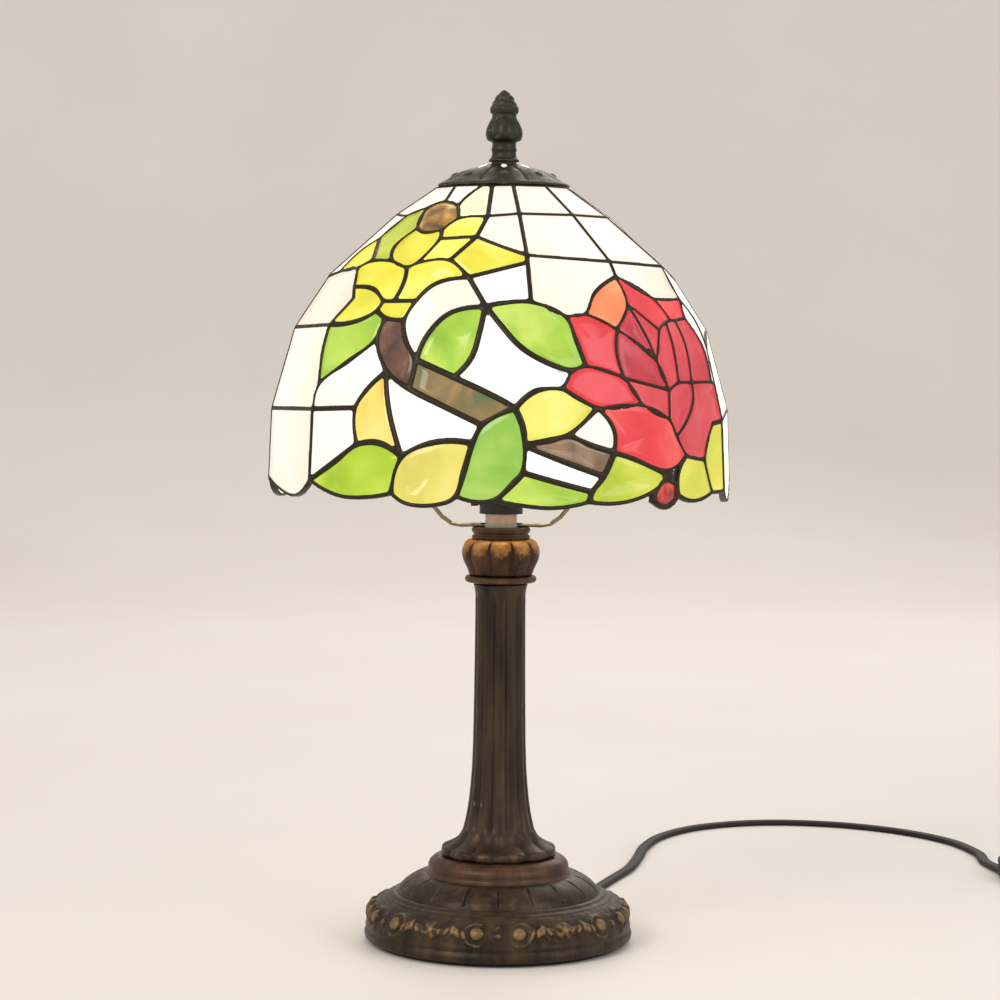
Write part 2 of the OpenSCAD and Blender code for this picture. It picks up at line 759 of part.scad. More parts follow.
base_pad();
base_casting();
base_weight();
lock_washer();
hex_nut();
lamp_pipe();
lifted() column();
lifted() capital_collar();
lifted() capital();
lifted() capital_neck_ring();
lifted() harp_saddle();
lifted() harp_wires();
lifted() harp_hub();
lifted() socket_neck();
lifted() socket_shell();
lifted() socket_liner();
lifted() socket_screw_shell();
lifted() socket_contact();
socket_leads();
lifted() switch_shaft();
lifted() switch_knob();
lifted() bulb_cap();
lifted() bulb_contact();
lifted() bulb_glass();
lifted() bulb_filament();
lifted() seating_washer();
lifted() shade_top_plate();
lifted() vase_cap();
lifted() solder_seams();
for (side = [["front_", 0], ["back_", 180]]) {
    name = side[0];
    turn = side[1];
    lifted() glass(grid_outlines, grid_seam, turn, cream);
    lifted() glass(field_outlines, field_seam, turn, "white");
    lifted() glass(petal_outlines, petal_seam, turn, "#f3ec6a");
    lifted() glass(jewel_outlines, petal_seam, turn, "#c99a35");
    lifted() glass(branch_outlines, leaf_seam, turn, "#8a5a3c");
    lifted() glass(green_leaf_outlines, leaf_seam, turn, "#a9c83a");
    lifted() glass(yellow_leaf_outlines, leaf_seam, turn, "#e6d868");
    lifted() glass(rose_outer_outlines, rose_seam, turn, "#ef4b4b");
    lifted() glass(rose_inner_outlines, rose_seam, turn, "#dd4a55");
    lifted() glass(bud_outlines, rose_seam, turn, "#b02a22");
}
lifted() finial_washer();
lifted() finial();
strain_relief();
cord();
cord_coil();
cord_tail();
cord_tie();
plug_body();
plug_blades();
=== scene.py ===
"""Stained glass table lamp: the looks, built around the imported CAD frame."""

import math

import bmesh
import bpy
import numpy as np
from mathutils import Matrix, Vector


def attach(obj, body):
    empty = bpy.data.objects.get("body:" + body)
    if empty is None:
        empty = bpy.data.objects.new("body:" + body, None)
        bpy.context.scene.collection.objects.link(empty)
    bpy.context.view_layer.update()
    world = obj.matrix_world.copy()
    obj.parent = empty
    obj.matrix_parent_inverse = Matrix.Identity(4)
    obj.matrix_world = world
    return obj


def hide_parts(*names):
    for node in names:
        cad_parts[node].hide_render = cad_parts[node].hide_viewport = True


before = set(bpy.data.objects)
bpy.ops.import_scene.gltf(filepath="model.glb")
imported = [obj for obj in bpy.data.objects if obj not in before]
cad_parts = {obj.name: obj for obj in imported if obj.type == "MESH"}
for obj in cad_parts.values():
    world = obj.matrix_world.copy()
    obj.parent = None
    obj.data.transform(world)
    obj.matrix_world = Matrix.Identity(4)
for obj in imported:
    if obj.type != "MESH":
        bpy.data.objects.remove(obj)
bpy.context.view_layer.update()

MM = 0.001
# The pieces above the base stand this many mm higher than their own measurements in this file.
STEM_LIFT = 3.5


# ---- Camera ----

CAMERA_PLACE = (-0.00115, -1.236, 0.2692)
CAMERA_LENS = 100.8
LOOK_DOWN = 3.37
CAMERA_ROLL = 0.46


def make_camera():
    """The camera stands in front of the lamp, well above the middle of its height, and looks down."""
    data = bpy.data.cameras.new("camera")
    data.sensor_width = 36
    data.lens = CAMERA_LENS
    data.clip_start = 0.05
    camera = bpy.data.objects.new("camera", data)
    bpy.context.scene.collection.objects.link(camera)
    camera.location = CAMERA_PLACE
    camera.rotation_euler = (math.radians(90 - LOOK_DOWN), math.radians(-CAMERA_ROLL), 0)
    bpy.context.scene.camera = camera
    bpy.context.scene.view_settings.view_transform = "Standard"


make_camera()


# ---- Small helpers ----

def vec(*xyz):
    """Three numbers as a vector."""
    return np.array(xyz, float)


def unit(v):
    """The vectors, each made one long."""
    return v / np.maximum(np.linalg.norm(v, axis=-1, keepdims=True), 1e-12)


def spline(points, steps):
    """Points on a smooth curve through the given points, as in the CAD."""
    points = np.asarray(points, float)
    last = len(points) - 1
    out = []
    for i in range(last):
        a, b = points[max(i - 1, 0)], points[i]
        c, d = points[i + 1], points[min(i + 2, last)]
        for k in range(steps):
            t = k / steps
            out.append(0.5 * (2 * b + (c - a) * t + (2 * a - 5 * b + 4 * c - d) * t ** 2
                              + (3 * b - a - 3 * c + d) * t ** 3))
    out.append(points[last])
    return np.array(out)


def mesh_object(name, verts, faces, body, smooth=True):
    """A mesh in metres that rides on a body."""
    mesh = bpy.data.meshes.new(name)
    mesh.from_pydata([tuple(v) for v in verts], [], [tuple(int(i) for i in f) for f in faces])
    mesh.validate()
    mesh.update()
    obj = bpy.data.objects.new(name, mesh)
    bpy.context.scene.collection.objects.link(obj)
    if smooth:
        mesh.shade_smooth()
    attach(obj, body)
    return obj


def grid_faces(rows, cols, wrap_rows=False, wrap_cols=True, start=0):
    """Quads over a grid of rows by cols vertices."""
    faces = []
    for i in range(rows if wrap_rows else rows - 1):
        for j in range(cols if wrap_cols else cols - 1):
            a = start + i * cols + j
            b = start + i * cols + (j + 1) % cols
            c = start + ((i + 1) % rows) * cols + (j + 1) % cols
            d = start + ((i + 1) % rows) * cols + j
            faces.append((a, b, c, d))
    return faces


def set_material(obj, *materials):
    """Give an object these materials in place of the ones it has."""
    obj.data.materials.clear()
    for material in materials:
        obj.data.materials.append(material)


# ---- Materials ----

def screen(*levels):
    """A colour as it looks on a screen, 0 to 255, turned into the linear values shaders use."""
    return tuple(c / 255 / 12.92 if c < 10.3 else ((c / 255 + 0.055) / 1.055) ** 2.4 for c in levels)


def new_material(name):
    """A material with its nodes, its links and its shader."""
    material = bpy.data.materials.new(name)
    material.use_nodes = True
    nodes = material.node_tree.nodes
    return material, nodes, material.node_tree.links, nodes["Principled BSDF"]


def noise_node(nodes, links, scale, detail=4.0, rough=0.55, stretch=(1, 1, 1)):
    """A noise over the object's own coordinates, in metres."""
    coords = nodes.new("ShaderNodeTexCoord")
    mapping = nodes.new("ShaderNodeMapping")
    mapping.inputs["Scale"].default_value = stretch
    noise = nodes.new("ShaderNodeTexNoise")
    noise.inputs["Scale"].default_value = scale
    noise.inputs["Detail"].default_value = detail
    noise.inputs["Roughness"].default_value = rough
    links.new(coords.outputs["Object"], mapping.inputs["Vector"])
    links.new(mapping.outputs["Vector"], noise.inputs["Vector"])
    return noise


def ramp_node(nodes, links, source, stops):
    """Colours over the source's values, from stops of a place and a colour."""
    ramp = nodes.new("ShaderNodeValToRGB")
    elements = ramp.color_ramp.elements
    while len(elements) < len(stops):
        elements.new(0.5)
    for element, (place, colour) in zip(elements, stops):
        element.position = place
        element.color = (*colour, 1)
    links.new(source, ramp.inputs["Fac"])
    return ramp


def bump_node(nodes, links, source, strength, distance, shader):
    """Bumps on a shader's surface, up to the distance in metres."""
    bump = nodes.new("ShaderNodeBump")
    bump.inputs["Strength"].default_value = strength
    bump.inputs["Distance"].default_value = distance
    links.new(source, bump.inputs["Height"])
    links.new(bump.outputs["Normal"], shader.inputs["Normal"])


def mix_node(nodes, links, factor, first, second):
    """A mix of two colours; each input is a socket or a value."""
    mix = nodes.new("ShaderNodeMix")
    mix.data_type = "RGBA"
    for socket, value in ((mix.inputs[0], factor), (mix.inputs[6], first), (mix.inputs[7], second)):
        if isinstance(value, bpy.types.NodeSocket):
            links.new(value, socket)
        else:
            socket.default_value = value
    return mix


def antique_metal(name, dark, streak, worn_and_lit, worn_and_lit_amount, lit_from=None, lit_to=None):
    """Cast metal with a dark, streaky patina that is rubbed bright on its raised edges.

    The last two arguments are heights in metres between which the bright colour grows all over: partly
    rubbed gilding, partly painted light falling from the shade above.
    """
    material, nodes, links, shader = new_material(name)
    streaks = noise_node(nodes, links, 130, 5.0, 0.6, (1, 1, 0.16))
    base = ramp_node(nodes, links, streaks.outputs["Fac"], [(0.36, dark), (0.66, streak)])
    relief = nodes.new("ShaderNodeNewGeometry")
    speckle = noise_node(nodes, links, 420, 3.0, 0.6)
    edge = nodes.new("ShaderNodeMath")
    edge.operation = "MULTIPLY_ADD"
    links.new(speckle.outputs["Fac"], edge.inputs[0])
    edge.inputs[1].default_value = 0.12
    links.new(relief.outputs["Pointiness"], edge.inputs[2])
    proud = nodes.new("ShaderNodeAttribute")
    proud.attribute_name = "raised"
    height = nodes.new("ShaderNodeMath")
    height.operation = "MULTIPLY_ADD"
    height.use_clamp = True
    links.new(proud.outputs["Fac"], height.inputs[0])
    height.inputs[1].default_value = 0.075
    links.new(edge.outputs["Value"], height.inputs[2])
    rubbed = height.outputs["Value"]
    # Painted light: over the given heights the bright colour grows upwards, as light falling from the
    # shade above, on top of the rubbed edges.
    if lit_from is not None:
        coords = nodes.new("ShaderNodeTexCoord")
        split = nodes.new("ShaderNodeSeparateXYZ")
        links.new(coords.outputs["Object"], split.inputs["Vector"])
        rise = nodes.new("ShaderNodeMapRange")
        rise.inputs["From Min"].default_value = lit_from
        rise.inputs["From Max"].default_value = lit_to
        rise.inputs["To Max"].default_value = 0.11
        links.new(split.outputs["Z"], rise.inputs["Value"])
        more = nodes.new("ShaderNodeMath")
        more.operation = "ADD"
        links.new(height.outputs["Value"], more.inputs[0])
        links.new(rise.outputs["Result"], more.inputs[1])
        rubbed = more.outputs["Value"]
    wear_and_light_mask = ramp_node(nodes, links, rubbed, [(0.605, (0, 0, 0)), (0.69, (worn_and_lit_amount,) * 3)])
    colour = mix_node(nodes, links, wear_and_light_mask.outputs["Color"], base.outputs["Color"], (*worn_and_lit, 1))
    links.new(colour.outputs[2], shader.inputs["Base Color"])
    roughness = ramp_node(nodes, links, speckle.outputs["Fac"],
                          [(0.3, (0.36,) * 3), (0.7, (0.54,) * 3)])
    links.new(roughness.outputs["Color"], shader.inputs["Roughness"])
    shader.inputs["Metallic"].default_value = 0.6
    bump_node(nodes, links, speckle.outputs["Fac"], 0.3, 0.0002, shader)
    return material


def plain_metal(name, colour, roughness, metallic=1.0, grain=300.0):
    """Metal whose colour and polish vary a little from place to place."""
    material, nodes, links, shader = new_material(name)
    noise = noise_node(nodes, links, grain, 4.0, 0.6)
    dark = tuple(0.72 * c for c in colour)
    tint = ramp_node(nodes, links, noise.outputs["Fac"], [(0.3, dark), (0.7, colour)])
    links.new(tint.outputs["Color"], shader.inputs["Base Color"])
    rough = ramp_node(nodes, links, noise.outputs["Fac"],
                      [(0.3, (roughness * 0.8,) * 3), (0.7, (min(roughness * 1.3, 1),) * 3)])
    links.new(rough.outputs["Color"], shader.inputs["Roughness"])
    shader.inputs["Metallic"].default_value = metallic
    bump_node(nodes, links, noise.outputs["Fac"], 0.15, 0.0002, shader)
    return material


def plastic(name, colour, roughness=0.45, grain=500.0):
    """Plastic, or another dull material, with a fine grain."""
    material, nodes, links, shader = new_material(name)
    noise = noise_node(nodes, links, grain, 3.0, 0.6)
    tint = ramp_node(nodes, links, noise.outputs["Fac"],
                     [(0.3, tuple(0.82 * c for c in colour)), (0.7, colour)])
    links.new(tint.outputs["Color"], shader.inputs["Base Color"])
    shader.inputs["Roughness"].default_value = roughness
    shader.inputs["Specular IOR Level"].default_value = 0.35
    bump_node(nodes, links, noise.outputs["Fac"], 0.2, 0.0001, shader)
    return material


def lit_glass(name, low, mid, high, strength=0.9, scale=28.0):
    """Opalescent art glass, lit from behind: streaks of colour that glow, under a glossy skin.

    Each pane is cut from another part of the sheet, so its streaks and its tone differ a little.
    """
    material, nodes, links, shader = new_material(name)
    island = nodes.new("ShaderNodeNewGeometry")
    coords = nodes.new("ShaderNodeTexCoord")
    shift = nodes.new("ShaderNodeVectorMath")
    shift.operation = "SCALE"
    shift.inputs[0].default_value = (3.1, 1.7, 2.3)
    links.new(island.outputs["Random Per Island"], shift.inputs["Scale"])
    place = nodes.new("ShaderNodeVectorMath")
    place.operation = "ADD"
    links.new(coords.outputs["Object"], place.inputs[0])
    links.new(shift.outputs["Vector"], place.inputs[1])
    mapping = nodes.new("ShaderNodeMapping")
    mapping.inputs["Rotation"].default_value = (0.3, 0.5, 0.8)
    links.new(place.outputs["Vector"], mapping.inputs["Vector"])
    cloud = nodes.new("ShaderNodeTexNoise")
    cloud.inputs["Scale"].default_value = scale
    cloud.inputs["Detail"].default_value = 3.0
    cloud.inputs["Roughness"].default_value = 0.5
    cloud.inputs["Distortion"].default_value = 0.6
    links.new(mapping.outputs["Vector"], cloud.inputs["Vector"])
    tint = ramp_node(nodes, links, cloud.outputs["Fac"], [(0.32, low), (0.50, mid), (0.68, high)])
    tone = nodes.new("ShaderNodeHueSaturation")
    value = nodes.new("ShaderNodeMapRange")
    value.inputs["To Min"].default_value = 0.88
    value.inputs["To Max"].default_value = 1.06
    links.new(island.outputs["Random Per Island"], value.inputs["Value"])
    links.new(value.outputs["Result"], tone.inputs["Value"])
    links.new(tint.outputs["Color"], tone.inputs["Color"])
    links.new(tone.outputs["Color"], shader.inputs["Emission Color"])
    shader.inputs["Emission Strength"].default_value = strength
    skin = mix_node(nodes, links, 0.78, tint.outputs["Color"], (0.02, 0.02, 0.02, 1))
    links.new(skin.outputs[2], shader.inputs["Base Color"])
    shader.inputs["Roughness"].default_value = 0.18
    shader.inputs["IOR"].default_value = 1.5
    ripple = nodes.new("ShaderNodeTexNoise")
    ripple.inputs["Scale"].default_value = 140.0
    ripple.inputs["Detail"].default_value = 2.0
    links.new(place.outputs["Vector"], ripple.inputs["Vector"])
    bump_node(nodes, links, ripple.outputs["Fac"], 0.22, 0.0005, shader)
    return material


def glow(name, colour, strength):
    """A surface that shines by itself."""
    material, nodes, links, shader = new_material(name)
    noise = noise_node(nodes, links, 60, 2.0)
    tint = ramp_node(nodes, links, noise.outputs["Fac"],
                     [(0.2, tuple(0.9 * c for c in colour)), (0.8, colour)])
    links.new(tint.outputs["Color"], shader.inputs["Emission Color"])
    links.new(tint.outputs["Color"], shader.inputs["Base Color"])
    shader.inputs["Emission Strength"].default_value = strength
    shader.inputs["Roughness"].default_value = 0.4
    return material


BRONZE = antique_metal("antique_bronze", screen(34, 24, 16), screen(70, 56, 38),
                       screen(156, 122, 82), 0.6)
BAND_BRONZE = antique_metal("band_bronze", screen(62, 42, 30), screen(92, 66, 48),
                            screen(166, 122, 86), 0.5)
# The capital: patina rubbed to gilt on its raised parts, and brighter towards its top as painted light
# from the shade above.
GILT_BRONZE_LIT_TOP = antique_metal("gilt_bronze", screen(44, 28, 18), screen(88, 58, 36),
                            screen(206, 150, 90), 0.95, 0.1705, 0.1780)
COLLAR_BRONZE = antique_metal("collar_bronze", screen(66, 46, 32), screen(104, 78, 56),
                              screen(214, 178, 136), 0.95)
DARK_BRONZE = antique_metal("dark_bronze", screen(36, 35, 26), screen(66, 64, 48),
                            screen(124, 120, 92), 0.55)
SOLDER = plain_metal("dark_solder", screen(52, 45, 32), 0.40, 0.7, 160)
BRASS = plain_metal("brass", (0.62, 0.44, 0.18), 0.32)
AGED_BRASS = plain_metal("aged_brass", screen(72, 60, 44), 0.4, 0.8)
PALE_NECK = plain_metal("pale_neck", screen(222, 190, 168), 0.5, 0.2)
STEEL = plain_metal("zinc_steel", (0.50, 0.50, 0.49), 0.38)
NICKEL = plain_metal("nickel", (0.66, 0.64, 0.60), 0.24)
WIRE = plain_metal("harp_wire", screen(150, 138, 112), 0.30, 0.9)
IRON = plain_metal("cast_iron", (0.10, 0.10, 0.105), 0.7, 0.6)
BLACK_SHELL = plain_metal("black_shell", (0.018, 0.015, 0.013), 0.4, 0.3)
FELT = plastic("felt", (0.035, 0.030, 0.026), 0.95, 1400)
PHENOLIC = plastic("phenolic", (0.16, 0.08, 0.04), 0.5)
CREAM_WIRE = plastic("lead_wire", (0.62, 0.56, 0.44), 0.5)
BLACK_PLASTIC = plastic("black_plastic", (0.012, 0.011, 0.010), 0.35)
CORD_BROWN = plastic("cord_brown", screen(34, 24, 19), 0.6)
VENT_LIGHT = glow("vent_light", screen(214, 206, 198), 0.8)
FROSTED_BULB = glow("frosted_bulb", (1.0, 0.93, 0.78), 6.0)
FILAMENT = glow("filament", (1.0, 0.75, 0.38), 12.0)

GLASS = {
    "grid_glass": lit_glass("white_glass", screen(250, 236, 212), screen(254, 246, 230),
                            screen(255, 253, 244), 0.86, scale=12),
    "field_glass": lit_glass("milk_glass", screen(246, 240, 222), screen(254, 251, 240),
                             screen(255, 255, 252), 0.90, scale=14),
    "flower_petals": lit_glass("yellow_glass", screen(224, 208, 36), screen(240, 230, 62),
                               screen(248, 246, 120), 0.92),
    "flower_jewel": lit_glass("amber_glass", screen(96, 60, 14), screen(176, 124, 34),
                              screen(232, 196, 92), 0.8, scale=110),
    "branch_glass": lit_glass("brown_glass", screen(72, 42, 28), screen(112, 72, 50),
                              screen(152, 116, 84), 0.72, scale=75),
    "green_leaves": lit_glass("green_glass", screen(140, 186, 40), screen(170, 208, 58),
                              screen(204, 228, 96), 0.86),
    "yellow_leaves": lit_glass("pale_leaf_glass", screen(200, 200, 62), screen(222, 216, 78),
                               screen(236, 226, 110), 0.9),
    "rose_outer": lit_glass("red_glass", screen(214, 36, 48), screen(234, 54, 62),
                            screen(242, 92, 84), 0.86),
    "rose_inner": lit_glass("rose_glass", screen(186, 36, 52), screen(212, 54, 66),
                            screen(230, 84, 90), 0.84),
    "bud_jewel": lit_glass("ruby_glass", screen(90, 4, 6), screen(168, 16, 16),
                           screen(236, 84, 40), 0.85, scale=130),
}

# Single panes cut from another sheet: azimuth in degrees, height in mm without the stem lift, glass.
ACCENTS = {
    "rose_outer": [
        (30.5, 279, lit_glass("orange_glass", screen(232, 104, 60), screen(246, 136, 84),
                              screen(252, 176, 118))),
    ],
    "branch_glass": [
        (-10, 243, lit_glass("amber_branch_glass", screen(84, 112, 56), screen(140, 116, 70),
                             screen(176, 140, 84), 0.72, scale=75)),
        (16, 218, lit_glass("olive_branch_glass", screen(112, 88, 62), screen(146, 114, 84),
                             screen(168, 138, 106), 0.8, scale=75)),
    ],
    "flower_petals": [
        (-16, 321, lit_glass("pale_petal_glass", screen(240, 240, 150), screen(250, 250, 190),
                             screen(255, 255, 225), 0.98)),
        (-50, 298, lit_glass("green_petal_glass", screen(172, 186, 30), screen(196, 206, 46),
                             screen(226, 226, 70))),
    ],
    "green_leaves": [
        (-38, 210, lit_glass("lime_leaf_glass", screen(148, 186, 20), screen(174, 205, 28),
                             screen(198, 222, 64))),
        (-4, 217, lit_glass("deep_leaf_glass", screen(112, 166, 48), screen(142, 190, 64),
                            screen(178, 212, 96))),
        (29, 207, lit_glass("olive_leaf_glass", screen(160, 182, 34), screen(188, 202, 48),
                            screen(214, 218, 84))),
    ],
    "yellow_leaves": [
        (-19, 210, lit_glass("straw_leaf_glass", screen(206, 196, 84), screen(226, 212, 100),
                             screen(240, 224, 130), 0.9)),
        (-33, 232, lit_glass("amber_leaf_glass", screen(226, 180, 80), screen(240, 212, 100),
                             screen(248, 228, 134))),
    ],
}


# ---- Cord: 1.8 m, from the bush in the base to the plug ----

CORD_W, CORD_H = 0.0056, 0.0028
LIE_Z = CORD_H / 2 + 0.00005
CORD_EXIT = (0.0338, 0.0725, 0.0048)
ROUTE = [
    CORD_EXIT, (0.040, 0.088, 0.0024), (0.046, 0.104, LIE_Z), (0.056, 0.133, LIE_Z),
    (0.066, 0.162, LIE_Z), (0.072, 0.192, LIE_Z), (0.077, 0.222, LIE_Z), (0.088, 0.254, LIE_Z),
    (0.110, 0.282, LIE_Z), (0.144, 0.298, LIE_Z), (0.182, 0.295, LIE_Z), (0.216, 0.276, LIE_Z),
    (0.240, 0.246, LIE_Z), (0.250, 0.212, LIE_Z), (0.250, 0.186, LIE_Z),
]
TAIL = [(0.3295, 0.172, 0.0062), (0.3285, 0.184, 0.0056), (0.327, 0.196, 0.0070)]
COIL_CENTRE = (0.290, 0.150)
COIL_TURNS = 6.55
COIL_START = math.radians(165.3)
COIL_RADII = [0.037, 0.031, 0.025, 0.025, 0.031, 0.037, 0.037]
COIL_LAYERS = [0, 0, 0, 1, 1, 1, 2]
COIL_LIFT, LAYER_STEP = 0.0024, 0.0029
TURN_POINTS = 40
ROUTE_STEPS = 6
# The share of a turn over which the cord crosses to the next radius and layer.
CROSSING = 0.3


def coil_points():
    """The wound part: six and a half turns in three layers, each crossing over to the next."""
    points = []
    count = int(COIL_TURNS * TURN_POINTS)
    for k in range(count + 1):
        turns = k / TURN_POINTS
        here = int(turns)
        after = min(here + 1, len(COIL_RADII) - 1)
        share = max(0.0, (turns - here - 1 + CROSSING) / CROSSING)
        share = share * share * (3 - 2 * share)
        radius = COIL_RADII[here] + (COIL_RADII[after] - COIL_RADII[here]) * share
        layer = COIL_LAYERS[here] + (COIL_LAYERS[after] - COIL_LAYERS[here]) * share
        angle = COIL_START + 2 * math.pi * turns
        points.append((COIL_CENTRE[0] + radius * math.cos(angle),
                       COIL_CENTRE[1] + radius * math.sin(angle),
                       COIL_LIFT + layer * LAYER_STEP))
    return points


def flat_cord(name, points, body):
    """A two-wire cord: two round lobes side by side, swept along the points, flat side down."""
    lobe = CORD_H / 2
    section = []
    for side in (1, -1):
        for degrees in range(-126, 127, 42):
            turn = math.radians(degrees)
            section.append((side * lobe * (1 + math.cos(turn)), side * lobe * math.sin(turn)))
    points = np.asarray(points, float)
    along = unit(np.gradient(points, axis=0))
    across = unit(np.cross(along, vec(0, 0, 1)))
    up = np.cross(across, along)
    verts = np.stack([points + across * x + up * z for x, z in section], axis=1)
    count = len(section)
    faces = grid_faces(len(points), count)
    faces.append(tuple(range(count)))
    faces.append(tuple(range(len(points) * count - 1, (len(points) - 1) * count - 1, -1)))
    return mesh_object(name, verts.reshape(-1, 3), faces, body)


def make_cord():
    """The whole mains cord, in place of the CAD's lying part, coil and tail."""
    wound = coil_points()
    lead = spline(ROUTE + [wound[0]], ROUTE_STEPS)[:-1]
    end = spline([wound[-1]] + TAIL, ROUTE_STEPS)[1:]
    path = [tuple(p) for p in np.concatenate([lead, wound, end])]
    cord = flat_cord("mains_cord", path, "stand")
    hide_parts("cord", "cord_coil", "cord_tail")
    set_material(cord, CORD_BROWN)


make_cord()


# ---- Turned and cast pieces ----

def turned(name, profile, body, sectors, step, relief=None, lift_by=STEM_LIFT):
    """A surface of revolution from a closed outline of (radius, height) corners in mm.

    sectors is the number of points round it and step their distance along the outline, in mm.
    relief(angle, radius, height) gives how far the surface stands proud, in mm, and is kept as the
    attribute "raised", where the patina of the cast metals is rubbed off. lift_by raises the
    whole piece.
    """
    profile = np.asarray(profile, float)
    lengths = np.linalg.norm(np.diff(profile, axis=0), axis=1)
    rows = []
    for a, b, length in zip(profile[:-1], profile[1:], lengths):
        count = max(1, int(round(length / step)))
        rows += [a + (b - a) * k / count for k in range(count)]
    rows.append(profile[-1])
    rows = np.array(rows)
    tangent = unit(np.gradient(rows, axis=0))
    normal = np.stack([tangent[:, 1], -tangent[:, 0]], axis=1)
    angle = np.linspace(0, 2 * math.pi, sectors, endpoint=False)
    shape = (len(rows), sectors)
    radius = np.broadcast_to(rows[:, :1], shape)
    height = np.broadcast_to(rows[:, 1:], shape)
    angles = np.broadcast_to(angle, shape)
    lift = relief(angles, radius, height) if relief else 0
    radius = np.maximum(radius + lift * normal[:, :1], 0.02)
    height = height + lift * normal[:, 1:] + lift_by
    verts = np.stack([radius * np.sin(angles), -radius * np.cos(angles), height], axis=2)
    faces = grid_faces(len(rows), sectors, wrap_rows=True)
    obj = mesh_object(name, verts.reshape(-1, 3) * MM, faces, body)
    raised = obj.data.attributes.new("raised", "FLOAT", "POINT")
    raised.data.foreach_set("value", np.broadcast_to(lift, shape).astype(np.float32).ravel())
    return obj


def rounded(profile, rounds=2):
    """Corner cutting of an open profile, which turns its corners into curves."""
    points = np.asarray(profile, float)
    for _ in range(rounds):
        a, b = points[:-1], points[1:]
        cut = np.stack([0.75 * a + 0.25 * b, 0.25 * a + 0.75 * b], axis=1).reshape(-1, 2)
        points = np.concatenate([points[:1], cut[1:-1], points[-1:]])
    return points


def band(value, low, high, soft):
    """1 between low and high, falling to 0 over soft on each side."""
    rise = np.clip((value - low) / soft + 0.5, 0, 1)
    fall = np.clip((high - value) / soft + 0.5, 0, 1)
    return (rise * rise * (3 - 2 * rise)) * (fall * fall * (3 - 2 * fall))


def column_relief(angle, radius, height):
    """Twelve reeds with grooves between them, and a lotus of petals on the foot."""
    reeds = np.abs(np.cos(angle * 6)) ** 0.55
    shaft = band(height, 47, 150, 5)
    petals = np.abs(np.cos(angle * 6 + math.pi / 2)) ** 0.7
    foot = band(height, 35.4, 46, 2.0)
    return shaft * (reeds - 0.85) * 1.25 + foot * (petals - 0.7) * 1.2


def make_column():
    """The fluted column on its lotus foot."""
    profile = rounded([
        (5.3, 35), (22, 35), (25.2, 35.2), (25.6, 36.8), (25.2, 38.6), (22.5, 39.6), (18.8, 41.6),
        (17.1, 43.6), (15.6, 47), (14.3, 52), (12.8, 62), (11.6, 78), (11.2, 106), (10.9, 140),
        (10.9, 149), (11.3, 153), (12.2, 156.5), (5.3, 156.5),
    ], 1)
    obj = turned("column_casting", profile, "stand", 288, 0.7, column_relief)
    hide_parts("column")
    set_material(obj, BRONZE)


def capital_relief(angle, radius, height):
    """Ten gadroons, each a lobe with a deep groove on both sides."""
    lobes = np.abs(np.cos(angle * 5)) ** 0.45
    return band(height, 160.5, 175.2, 3) * (lobes - 0.8) * 1.5


def make_capital():
    """The capital with the collar under it and the neck ring on top."""
    profile = rounded([
        (5.3, 159.7), (13.8, 159.7), (14.3, 161), (14.9, 163), (16.5, 166), (17.4, 169.2),
        (17.1, 172), (15.7, 174.6), (13.2, 176), (5.3, 176),
    ], 2)
    obj = turned("capital_casting", profile, "stand", 240, 0.45, capital_relief)
    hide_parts("capital")
    set_material(obj, GILT_BRONZE_LIT_TOP)
    collar = turned("collar_casting", rounded([
        (5.3, 156.5), (14.4, 156.5), (15.6, 157.0), (15.9, 158.1), (15.6, 159.2), (14.4, 159.7),
        (5.3, 159.7),
    ], 2), "stand", 160, 0.4)
    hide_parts("capital_collar")
    set_material(collar, COLLAR_BRONZE)
    neck = turned("neck_ring_casting", rounded([
        (5.3, 176), (12.9, 176), (12.9, 177), (12.1, 177.6), (12.1, 178.4), (12.9, 179), (13.0, 180.2),
        (12.4, 181), (5.3, 181),
    ], 1), "stand", 160, 0.4)
    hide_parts("capital_neck_ring")
    set_material(neck, BAND_BRONZE)


ROLL_R = 57
MOTIFS = 6
PANELS = 18
# The pattern on the outer roll: places in degrees from a motif's middle, sizes in mm.
PEARL_PLACE = 9.2
PEARL_R = 3.4
CURL_R = 5.5
FLOWER_PLACE = 30
FLOWER_R = 4.8
# Leaves on each side of a motif: place, lean in degrees, half length, half width.
LEAVES = [(17.2, 58, 4.4, 2.3), (18.6, 16, 4.8, 2.1), (21.4, -26, 5.0, 2.2), (24.0, -66, 3.8, 2.0)]


def round_the_roll(angle, offset):
    """Distance in mm along the outer roll from the nearest motif; the offset is in degrees."""
    pitch = 2 * math.pi / MOTIFS
    return ((angle - math.radians(offset) + pitch / 2) % pitch - pitch / 2) * ROLL_R


def rosette(across, up, radius, petals):
    """A domed flower; with no petals it is a plain pearl."""
    dist = np.hypot(across, up) / radius
    turn = np.arctan2(up, across)
    dome = np.sqrt(np.clip(1 - dist ** 2, 0, 1))
    return dome * (1 - 0.3 * (petals > 0) * (1 - np.cos(petals * turn)) * np.clip(dist, 0, 1))


def leaf(across, up, lean, length, width):
    """A pointed leaf that leans over, in degrees from upright, with a groove down its middle."""
    c, s = math.cos(math.radians(lean)), math.sin(math.radians(lean))
    along = (across * s + up * c) / length
    side = (across * c - up * s) / width
    body = np.clip(1 - np.abs(along) ** 1.6 - np.abs(side) ** 1.6, 0, 1) ** 0.6
    return body * (1 - 0.35 * np.exp(-(side / 0.18) ** 2))


